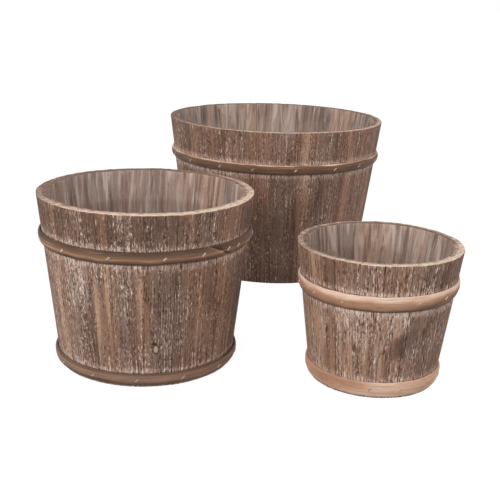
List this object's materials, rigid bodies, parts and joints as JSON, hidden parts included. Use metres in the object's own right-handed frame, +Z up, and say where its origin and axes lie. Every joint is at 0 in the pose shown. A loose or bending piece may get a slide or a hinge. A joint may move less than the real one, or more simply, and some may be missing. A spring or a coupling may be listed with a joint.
{
  "type": "nesting wooden planter set",
  "caption": "Round tapered wooden planters of upright staves that nest inside each other, bound by stapled wooden hoops below the rim and, on the smaller two, at the foot.",
  "frame": {"origin": "on the ground, at the middle of the space that the three planters take as they stand", "axes": "+Z up, +Y from the two smaller planters back towards the large one, +X from the medium planter towards the small one"},
  "size_m": [0.6684, 0.9714, 0.32],
  "materials": {
    "stave_wood": "brushed, brown stain under a worn pale wash",
    "floor_wood": "sawn, greyed",
    "hoop_wood": "split, brown stain",
    "staple_steel": "bright wire, dulled"
  },
  "bodies": {
    "root": {"large_staves_01": "stave_wood", "large_staves_02": "stave_wood", "large_staves_03": "stave_wood", "large_staves_04": "stave_wood", "large_staves_05": "stave_wood", "large_staves_06": "stave_wood", "large_staves_07": "stave_wood", "large_staves_08": "stave_wood", "large_staves_09": "stave_wood", "large_staves_10": "stave_wood", "large_staves_11": "stave_wood", "large_staves_12": "stave_wood", "large_staves_13": "stave_wood", "large_staves_14": "stave_wood", "large_staves_15": "stave_wood", "large_floor_left": "floor_wood", "large_floor_middle": "floor_wood", "large_floor_right": "floor_wood", "large_upper_hoop": "hoop_wood", "large_staples": "staple_steel", "medium_staves_01": "stave_wood", "medium_staves_02": "stave_wood", "medium_staves_03": "stave_wood", "medium_staves_04": "stave_wood", "medium_staves_05": "stave_wood", "medium_staves_06": "stave_wood", "medium_staves_07": "stave_wood", "medium_staves_08": "stave_wood", "medium_staves_09": "stave_wood", "medium_staves_10": "stave_wood", "medium_staves_11": "stave_wood", "medium_staves_12": "stave_wood", "medium_floor_left": "floor_wood", "medium_floor_middle": "floor_wood", "medium_floor_right": "floor_wood", "medium_upper_hoop": "hoop_wood", "medium_lower_hoop": "hoop_wood", "medium_staples": "staple_steel", "small_staves_01": "stave_wood", "small_staves_02": "stave_wood", "small_staves_03": "stave_wood", "small_staves_04": "stave_wood", "small_staves_05": "stave_wood", "small_staves_06": "stave_wood", "small_staves_07": "stave_wood", "small_staves_08": "stave_wood", "small_staves_09": "stave_wood", "small_staves_10": "stave_wood", "small_staves_11": "stave_wood", "small_floor_left": "floor_wood", "small_floor_middle": "floor_wood", "small_floor_right": "floor_wood", "small_upper_hoop": "hoop_wood", "small_lower_hoop": "hoop_wood", "small_staples": "staple_steel"}
  },
  "joints": []
}
